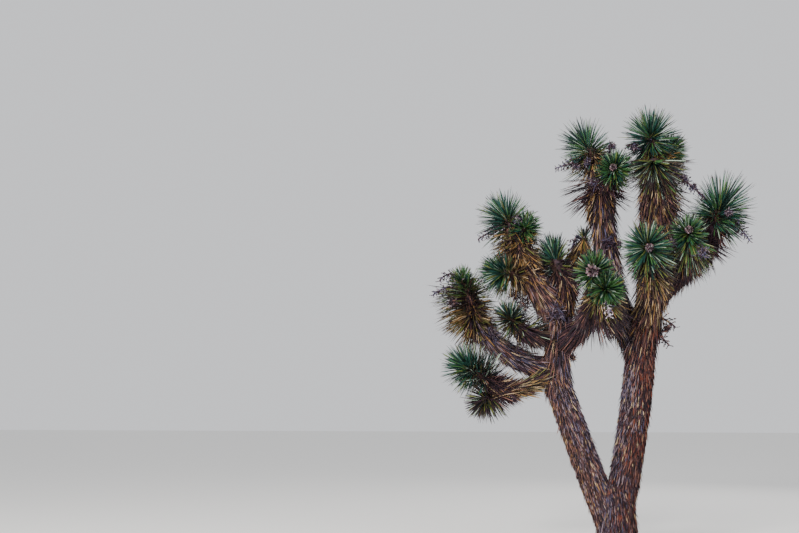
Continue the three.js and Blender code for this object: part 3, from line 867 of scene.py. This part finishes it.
def lay_coat(random, limb, kind, blades, last=1):
    """Dead leaves rooted all over a limb, that lie back along it and hang off its underside."""
    plan = COATS[kind]
    first = BURIED_BARE * limb.buried / limb.curve.length
    n = int(limb.girth * limb.curve.length * (last - first) / plan["spacing"] ** 2)
    share = random.uniform(first, last, n)
    axis = limb.curve.way(share)
    out = around(axis, random.uniform(0, 2 * math.pi, n))
    offset = out * limb.radius(share)[:, None] * plan["inner"] * PLUMP.get(limb.name, 1)
    root = limb.curve.at(share) + offset
    young = np.zeros(n)
    if limb.below_head is not None:
        below = (1 - share) * limb.curve.length + limb.below_head
        fades_over = LONG_YOUNG_FOR if limb.name in LONG_YOUNG else YOUNG_FOR
        young = np.exp(-np.maximum(below, 0) / fades_over)
    rise = np.abs(random.normal(plan["lift"], LIFT_WANDER, n))
    stray = random.random(n) < plan["stray"] + YOUNG_STRAY * young
    rise = np.where(stray, random.uniform(*STRAY_LIFT, n), rise)
    way = unit(out * rise[:, None] - axis)
    level = 1 - np.abs(axis[:, 2:])
    under = np.clip(out @ DOWN, 0, 1)[:, None]
    bend = DOWN * under * level * COAT_DROOP + random.normal(0, plan["curl"], (n, 3))
    length = random.uniform(*plan["length"], n) * (1 + YOUNG_LONGER * young)
    if limb.name != "trunk" and limb.buried > 0:
        length = np.minimum(length, COAT_REACH * share * limb.curve.length)
    width = plan["width"] * random.uniform(*COAT_WIDTHS, n)
    roll = random.normal(0, ROLL, n)
    tint = coat_tints(random, limb, out, young, share)
    blades.add(root, way, bend, out, roll, length, width, tint)


def skin(curve, share, turn, radius):
    """A closed surface round a curve, from a grid of shares, turns and radii."""
    rows, sides = radius.shape
    points = curve.at(share) + around(curve.way(share), turn) * radius[..., None]
    index = np.arange(rows * sides).reshape(rows, sides)
    after = np.roll(index, -1, 1)
    a, b, c, d = index[:-1], after[:-1], after[1:], index[1:]
    walls = np.concatenate([np.stack([a, b, c], -1), np.stack([a, c, d], -1)]).reshape(-1, 3)
    foot = np.stack([np.full(sides, rows * sides), after[0], index[0]], -1)
    tip = np.stack([np.full(sides, rows * sides + 1), index[-1], after[-1]], -1)
    ends = points[[0, -1]].mean(1)
    return np.concatenate([points.reshape(-1, 3), ends]), np.concatenate([walls, foot, tip])


def grid(first, rows, sides):
    """Shares and turns of a surface round a limb."""
    turns = np.arange(sides) / sides * 2 * math.pi
    return np.meshgrid(np.linspace(first, 1, rows), turns, indexing="ij")


def bark_of(random, limb, inner, sides, row_length):
    """The limb's own surface under its coat, with ridges that run along it and a domed tip."""
    first = limb.buried / limb.curve.length if limb.name == "trunk" else 0
    rows = max(4, int(limb.curve.length * (1 - first) / row_length))
    share, turn = grid(first, rows, sides)
    radius = limb.radius(share) * inner
    for wide, long, high in BARK_RIDGES:
        turn_cells = max(6, round(limb.girth / wide))
        along_cells = max(2, round(limb.curve.length / long))
        radius = radius + high * smooth_noise(random, turn, share, turn_cells, along_cells)
    dome = DOME * limb.radii[-1] / limb.curve.length
    radius = radius * np.sqrt(1 - np.clip(1 - (1 - share) / dome, 0, 1) ** 2)
    vertices, triangles = skin(limb.curve, share, turn, radius)
    vertices[:, 2] = np.maximum(vertices[:, 2], 0)
    return vertices, triangles


def join(parts):
    """Several meshes as one: their vertices and triangles."""
    starts = np.cumsum([0] + [len(vertices) for vertices, _ in parts])
    vertices = np.concatenate([vertices for vertices, _ in parts])
    triangles = np.concatenate([faces + start for (_, faces), start in zip(parts, starts)])
    return vertices, triangles


def make_bark(limbs, necks):
    random = np.random.default_rng(SEEDS["bark"])
    parts = []
    for limb in [*limbs.values(), *necks.values()]:
        if limb.name in SHREDDED:
            inner, sides, row_length = SHREDDED_BARK
            inner *= PLUMP.get(limb.name, 1)
        else:
            inner, sides, row_length = THATCHED_BARK
        parts.append(bark_of(random, limb, inner, sides, row_length))
    vertices, triangles = join(parts)
    tints = np.zeros(len(triangles), int)
    bark = piece("bark", vertices, triangles, tints, [bark_material()], smooth=True)
    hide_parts(*limbs)


def make_crown(limbs, necks, tints):
    """The live leaves of the heads and the tiers of dead ones under them."""
    random = np.random.default_rng(SEEDS["crown"])
    live, dead = Blades(LIVE_FORM), Blades(DEAD_FORM)
    for name, neck in necks.items():
        grow_leaves(random, name, neck, live)
        hang_tiers(random, name, with_limb(neck, limbs), dead)
    leaves = live.finish("green_leaves", tints)
    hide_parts(*HEADS)
    dead.finish("skirt_leaves", tints)


def make_coats(limbs, necks, tints):
    """The shreds of bark on the stems, and the thatch on the boughs and under the heads."""
    random = np.random.default_rng(SEEDS["coats"])
    thatch = ("thatch_left", "thatch_middle", "thatch_right")
    coats = {name: Blades(SHRED_FORM) for name in ("shreds", *thatch)}
    for limb in [*limbs.values(), *necks.values()]:
        if limb.name in SHREDDED:
            lay_coat(random, limb, "shreds", coats["shreds"])
        else:
            side = np.digitize(limb.curve.at(1)[0], THATCH_BORDERS)
            last = NECK_COATED if limb.name in HEADS else 1
            lay_coat(random, limb, "thatch", coats[thatch[side]], last)
    for name, blades in coats.items():
        blades.finish(name, tints)


def spindles(root, way, length, width):
    """Twigs and pods: four-sided, with a point at both ends."""
    side = around(way, np.zeros(len(way)))
    other = np.cross(way, side)
    middle = root + way * length[:, None] * SPINDLE_BELLY
    half = width[:, None] / 2
    corners = [middle + out * half for out in (side, other, -side, -other)]
    vertices = np.stack([root, *corners, root + way * length[:, None]], 1)
    ring = ((1, 2), (2, 3), (3, 4), (4, 1))
    faces = [(0, after, corner) for corner, after in ring]
    faces += [(5, corner, after) for corner, after in ring]
    triangles = np.arange(len(root))[:, None, None] * 6 + np.array(faces)
    return vertices.reshape(-1, 3), triangles.reshape(-1, 3)


def grow_stalk(random, curve):
    """A flower stalk with short twigs up to its tip like a comb's teeth, and pods on each."""
    share, turn = grid(0, STALK_ROWS, STALK_SIDES)
    stem = skin(curve, share, turn, np.interp(share, [0, 1], STALK_RADIUS))
    n = int(curve.length / TWIG_SPACING)
    place = np.linspace(TWIGS_START, 1, n)
    axis = curve.way(place)
    out = around(axis, np.arange(n) * GOLDEN_ANGLE + random.normal(0, TWIG_TURN, n))
    way = unit(out + TWIG_LEAN * axis + TWIG_DROOP * DOWN)
    size = random.uniform(*TWIG_SIZES, n)
    length = TWIG_LENGTH * size * np.interp(place, *TWIG_TAPER)
    twigs = spindles(curve.at(place), way, length, np.full(n, TWIG_WIDTH))
    owner = np.repeat(np.arange(n), PODS)
    along = np.tile(np.linspace(*POD_STRETCH, PODS), n)
    root = curve.at(place)[owner] + way[owner] * (length[owner] * along)[:, None]
    scatter = random.normal(0, POD_SCATTER, (len(owner), 3))
    lean = unit(way[owner] + scatter + POD_DROOP * DOWN)
    size = random.uniform(*POD_SIZES, len(owner)) * np.interp(place, *POD_TAPER)[owner]
    pods = spindles(root, lean, POD_SIZE[0] * size, POD_SIZE[1] * size)
    return stem, twigs, pods


def grow_clump(random, centre, radius):
    """A tangle of short twigs."""
    root = centre + radius * random.normal(0, CLUMP_SPREAD, (CLUMP_TWIGS, 3))
    way = unit(random.normal(0, 1, (CLUMP_TWIGS, 3)))
    length = radius * random.uniform(*CLUMP_TWIG_LENGTHS, CLUMP_TWIGS)
    width = random.uniform(*CLUMP_TWIG_WIDTHS, CLUMP_TWIGS)
    return spindles(root, way, length, width)


def make_stalks(necks, tints):
    random = np.random.default_rng(SEEDS["stalks"])
    grown = []
    for name, end, rise, tone in STALKS:
        start = necks[name].curve.at(STALK_ROOT)
        curve = bowed(start, np.array(end) * MM, -DOWN * rise * MM)
        grown += [(part, tone) for part in grow_stalk(random, curve)]
    for start, end in SPRIGS:
        curve = bowed(np.array(start) * MM, np.array(end) * MM, -DOWN * SPRIG_RISE * MM)
        grown += [(part, SPRIG_TONE) for part in grow_stalk(random, curve)]
    for place, radius, tone in CLUMPS:
        grown.append((grow_clump(random, np.array(place) * MM, radius * MM), tone))
    parts, colours = [], []
    for part, tone in grown:
        faces = len(part[1])
        drawn = draw(random, tone, math.ceil(faces / SPINDLE_FACES))
        parts.append(part)
        colours.append(np.repeat(drawn, SPINDLE_FACES)[:faces])
    vertices, triangles = join(parts)
    piece("flower_stalks", vertices, triangles, np.concatenate(colours), tints)


def make_buds(tints):
    """Clusters of short thick scales."""
    random = np.random.default_rng(SEEDS["buds"])
    scales = Blades(DEAD_FORM)
    n = BUD_SCALES
    age = (np.arange(n) + 0.5) / n
    axis = np.tile(unit(np.array(BUDS_FACE)), (n, 1))
    for place, radius in BUDS:
        centre, radius = np.array(place) * MM, radius * MM
        out = around(axis, np.arange(n) * GOLDEN_ANGLE)
        way = tilted(axis, out, np.arccos(1 - BUD_OPENS * age))
        root = centre + way * radius * random.uniform(*BUD_ROOTS, n)[:, None]
        length = radius * random.uniform(*BUD_LENGTHS, n)
        bend = random.normal(0, BUD_CURL, (n, 3))
        width = BUD_SLIM * length + BUD_LEAST_WIDTH
        scales.add(root, way, bend, axis, np.zeros(n), length, width, draw(random, "bud", n))
    scales.finish("flower_buds", tints)


def make_stage():
    """A pale floor in soft light, most of it from the front."""
    bpy.ops.mesh.primitive_plane_add(size=FLOOR_SIZE, location=(0, 0, 0))
    floor = bpy.context.object
    floor.name = "floor"
    floor.data.materials.append(plain("floor_paint", FLOOR_COLOUR, FLOOR_ROUGHNESS))
    world = bpy.data.worlds.new("studio")
    bpy.context.scene.world = world
    world.use_nodes = True
    room = world.node_tree.nodes["Background"]
    settle(room, {"Color": ROOM_COLOUR, "Strength": ROOM_STRENGTH})
    for name, place, size, power, colour in LAMPS:
        data = bpy.data.lights.new(name, "AREA")
        data.size, data.energy, data.color = size, power, colour
        lamp = bpy.data.objects.new(name, data)
        lamp.location = place
        aim = Vector(LAMPS_AIM) - Vector(place)
        lamp.rotation_euler = aim.to_track_quat("-Z", "Y").to_euler()
        bpy.context.scene.collection.objects.link(lamp)


def make_camera():
    data = bpy.data.cameras.new("camera")
    data.lens = LENS
    data.sensor_width = FRAME_WIDTH
    camera = bpy.data.objects.new("camera", data)
    camera.location = CAMERA_PLACE
    camera.rotation_euler = Euler((math.radians(90 + CAMERA_UP), 0, math.radians(CAMERA_LEFT)))
    bpy.context.scene.collection.objects.link(camera)
    bpy.context.scene.camera = camera


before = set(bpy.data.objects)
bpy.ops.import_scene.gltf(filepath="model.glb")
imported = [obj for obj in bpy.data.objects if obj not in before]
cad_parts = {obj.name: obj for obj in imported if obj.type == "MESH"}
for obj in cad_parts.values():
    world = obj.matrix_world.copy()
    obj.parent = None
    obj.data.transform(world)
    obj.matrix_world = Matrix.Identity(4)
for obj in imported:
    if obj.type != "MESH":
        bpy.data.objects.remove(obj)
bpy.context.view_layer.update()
make_camera()
make_stage()
limbs = grow_limbs()
necks = {name: grow_neck(name, limbs) for name in HEADS}
tints = make_tints()
make_bark(limbs, necks)
make_crown(limbs, necks, tints)
make_coats(limbs, necks, tints)
make_stalks(necks, tints)
make_buds(tints)
